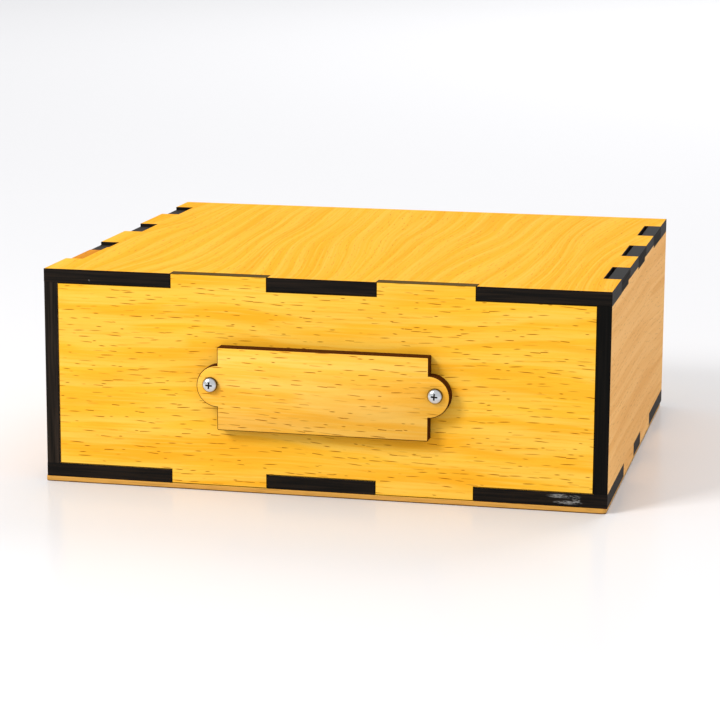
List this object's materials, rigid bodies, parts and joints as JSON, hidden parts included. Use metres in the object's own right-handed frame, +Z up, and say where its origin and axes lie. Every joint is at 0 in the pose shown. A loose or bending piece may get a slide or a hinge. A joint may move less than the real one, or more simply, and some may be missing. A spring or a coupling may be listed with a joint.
{
  "type": "puzzle box",
  "caption": "Finger-jointed wooden puzzle box: a drawer disguised as the front panel, with a screwed nameplate and a hidden key finger that latches it.",
  "frame": {"origin": "centre of the base sheet's underside, taken on the box without the sheet's small lip; the box rests on it", "axes": "+X to the right, +Y to the back (the drawer opens towards -Y), +Z up"},
  "size_m": [0.2067, 0.1904, 0.079],
  "materials": {
    "beech_board": "printed beech face, satin, charred black edges",
    "beech_board_pale": "printed beech face, satin, charred black edges",
    "thin_sheet": "thin sheet, satin, pale edge",
    "drawer_board": "bare board, matte, charred edges",
    "key_wood": "darker board, satin",
    "steel": "bright zinc plate"
  },
  "bodies": {
    "carcass": {"top_panel": "beech_board", "bottom_panel": "beech_board", "left_panel": "beech_board", "right_panel": "beech_board_pale", "back_panel": "beech_board", "base_sheet": "thin_sheet", "pivot_block": "drawer_board", "pivot_pin": "steel"},
    "drawer": {"front_panel": "beech_board", "drawer_inner_front": "drawer_board", "drawer_left_side": "drawer_board", "drawer_right_side": "drawer_board", "drawer_back": "drawer_board", "drawer_floor": "drawer_board", "nameplate": "beech_board", "nameplate_screws": "steel", "nameplate_washers": "steel", "nameplate_nuts": "steel"},
    "key_lever": {"key_finger": "key_wood", "key_bridge": "key_wood", "latch_arm": "key_wood"}
  },
  "joints": [
    {"name": "drawer_slide", "type": "slide", "parent": "carcass", "child": "drawer", "axis": [0, -1, 0], "range_m": [0, 0.14]},
    {"name": "key_rock", "type": "hinge", "parent": "carcass", "child": "key_lever", "pos_m": [-0.0949, -0.035, 0.0655], "axis": [1, 0, 0], "range_deg": [-2.6, 0]}
  ]
}
